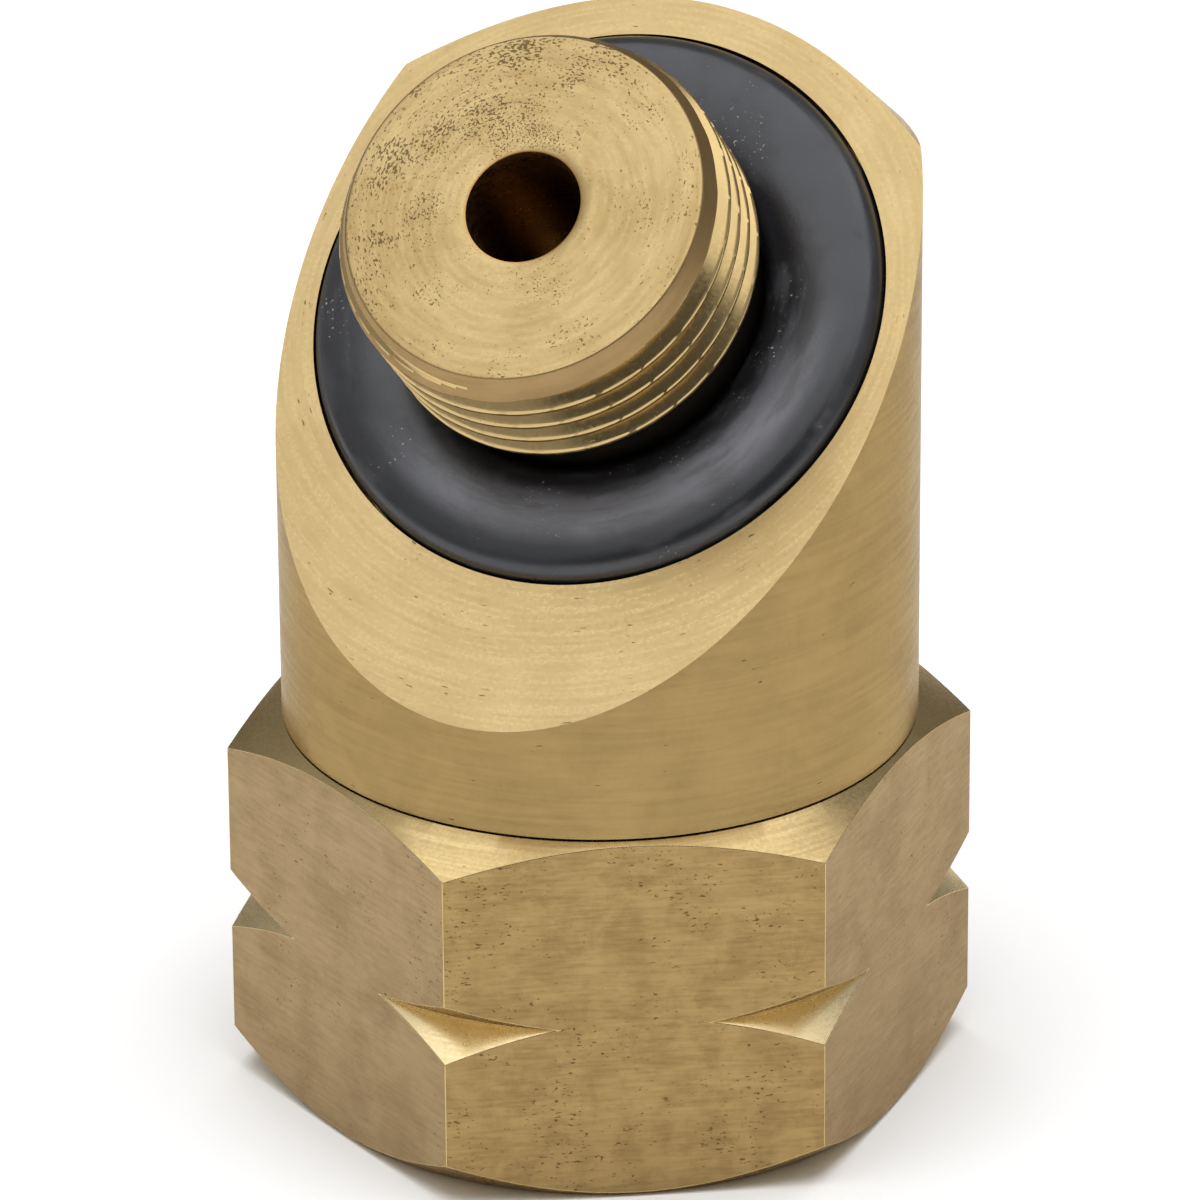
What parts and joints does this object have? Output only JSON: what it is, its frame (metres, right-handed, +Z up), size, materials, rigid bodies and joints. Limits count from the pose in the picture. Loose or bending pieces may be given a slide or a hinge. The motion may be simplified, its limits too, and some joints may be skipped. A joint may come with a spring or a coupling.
{
  "type": "gas cylinder adapter",
  "caption": "Brass angled gas-cylinder adapter: a swivelling left-hand hexagon union nut, a round body cut at 45 degrees and a face-sealed male outlet nipple.",
  "frame": {"origin": "centre of the union nut's open lower face, on the axis that the nut swivels about", "axes": "+Z up along the swivel axis, away from the gas cylinder; the outlet leans 45 degrees from +Z towards -Y; +X to the right seen from the outlet's side"},
  "size_m": [0.03, 0.0346, 0.0516],
  "materials": {
    "drawn_brass": "drawn hexagon bar, satin, slightly tarnished and pitted on the flats",
    "turned_brass": "fine turned satin",
    "black_rubber": "moulded, smooth, slightly glossy",
    "soft_copper": null
  },
  "bodies": {
    "adapter_body": {"elbow_body": "turned_brass", "outlet_nipple": "turned_brass", "nipple_seat_washer": "soft_copper", "outlet_seal_ring": "black_rubber", "inlet_stem": "turned_brass", "stem_seal_ring": "black_rubber", "inlet_gasket": "black_rubber"},
    "union_nut": {"union_nut": "drawn_brass"}
  },
  "joints": [
    {"name": "nut_swivel", "type": "hinge", "parent": "adapter_body", "child": "union_nut", "pos_m": [0, 0, 0.016], "axis": [0, 0, 1], "continuous": true}
  ]
}
